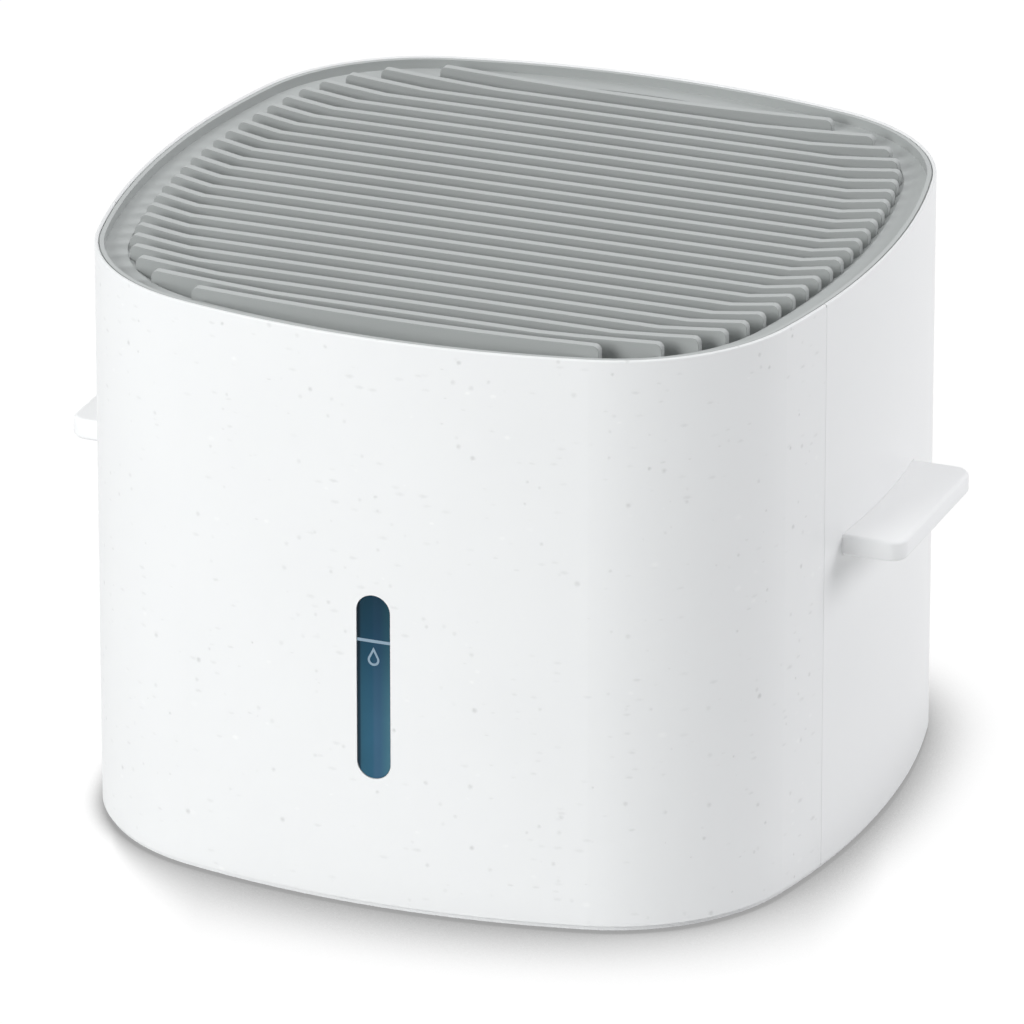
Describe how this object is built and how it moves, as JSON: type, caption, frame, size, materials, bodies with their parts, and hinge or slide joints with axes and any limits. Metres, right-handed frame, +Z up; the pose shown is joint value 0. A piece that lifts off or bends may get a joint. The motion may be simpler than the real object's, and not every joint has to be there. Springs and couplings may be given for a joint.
{
  "type": "cool mist humidifier",
  "caption": "Rounded square humidifier with a finned grille set in a dished top, side handles, a slim upright level window and a lift-out fan unit over a water tank.",
  "frame": {"origin": "on the floor under the middle of the body", "axes": "+Z up, -Y out of the front with the level window, +X to the right seen from the front"},
  "size_m": [0.281, 0.245, 0.1917],
  "materials": {
    "speckled_white": "satin off-white with small pits and flecks",
    "smooth_white": "smooth satin white",
    "base_plastic": "matt white",
    "grille_grey": "matt neutral grey",
    "window_blue": "glossy dark blue, slightly clear",
    "seal_rubber": "matt grey silicone",
    "foot_rubber": "matt dark grey",
    "tank_plastic": "milky, slightly clear",
    "frame_plastic": "matt light grey",
    "shroud_plastic": "matt dark grey",
    "impeller_plastic": "matt charcoal",
    "motor_steel": "plain drawn steel",
    "screw_steel": "bright zinc",
    "board_green": "green solder mask",
    "inlet_black": "glossy black",
    "lens_clear": "clear, faintly green",
    "button_grey": "satin light grey",
    "wick_paper": "pleated fibrous wick",
    "float_orange": "foamed plastic"
  },
  "bodies": {
    "tank_body": {"base_plate": "base_plastic", "feet": "foot_rubber", "base_screws": "screw_steel", "water_tank": "tank_plastic", "front_cover": "speckled_white", "rear_cover": "smooth_white", "handle_right": "smooth_white", "handle_left": "smooth_white", "level_window": "window_blue", "window_seal": "seal_rubber"},
    "fan_unit": {"fan_deck": "frame_plastic", "fan_shroud": "shroud_plastic", "deck_screws": "screw_steel", "fan_motor": "motor_steel", "motor_screws": "screw_steel", "intake_panel": "smooth_white", "control_board": "board_green", "board_screws": "screw_steel", "power_inlet": "inlet_black", "indicator_lens": "lens_clear", "float_stem": "frame_plastic", "stem_nut": "frame_plastic", "stem_clip": "screw_steel"},
    "rotor": {"impeller": "impeller_plastic", "fan_shaft": "motor_steel"},
    "button": {"power_button": "button_grey"},
    "grille": {"outlet_grille": "grille_grey"},
    "filter": {"filter_collar": "frame_plastic", "wick_filter": "wick_paper", "filter_cage": "frame_plastic"},
    "float": {"float_ring": "float_orange"}
  },
  "joints": [
    {"name": "unit_lift", "type": "slide", "parent": "tank_body", "child": "fan_unit", "axis": [0, 0, 1], "range_m": [0, 0.2]},
    {"name": "fan_spin", "type": "hinge", "parent": "fan_unit", "child": "rotor", "pos_m": [0, 0, 0.155], "axis": [0, 0, 1], "continuous": true},
    {"name": "button_press", "type": "slide", "parent": "fan_unit", "child": "button", "axis": [0, -1, 0], "range_m": [0, 0.0018], "stiffness_N_per_m": 500},
    {"name": "grille_lift", "type": "slide", "parent": "fan_unit", "child": "grille", "axis": [0, 0, 1], "range_m": [0, 0.06]},
    {"name": "filter_twist", "type": "hinge", "parent": "fan_unit", "child": "filter", "pos_m": [0, 0, 0.113], "axis": [0, 0, 1], "range_deg": [0, 30]},
    {"name": "float_rise", "type": "slide", "parent": "fan_unit", "child": "float", "axis": [0, 0, 1], "range_m": [0, 0.08]}
  ]
}
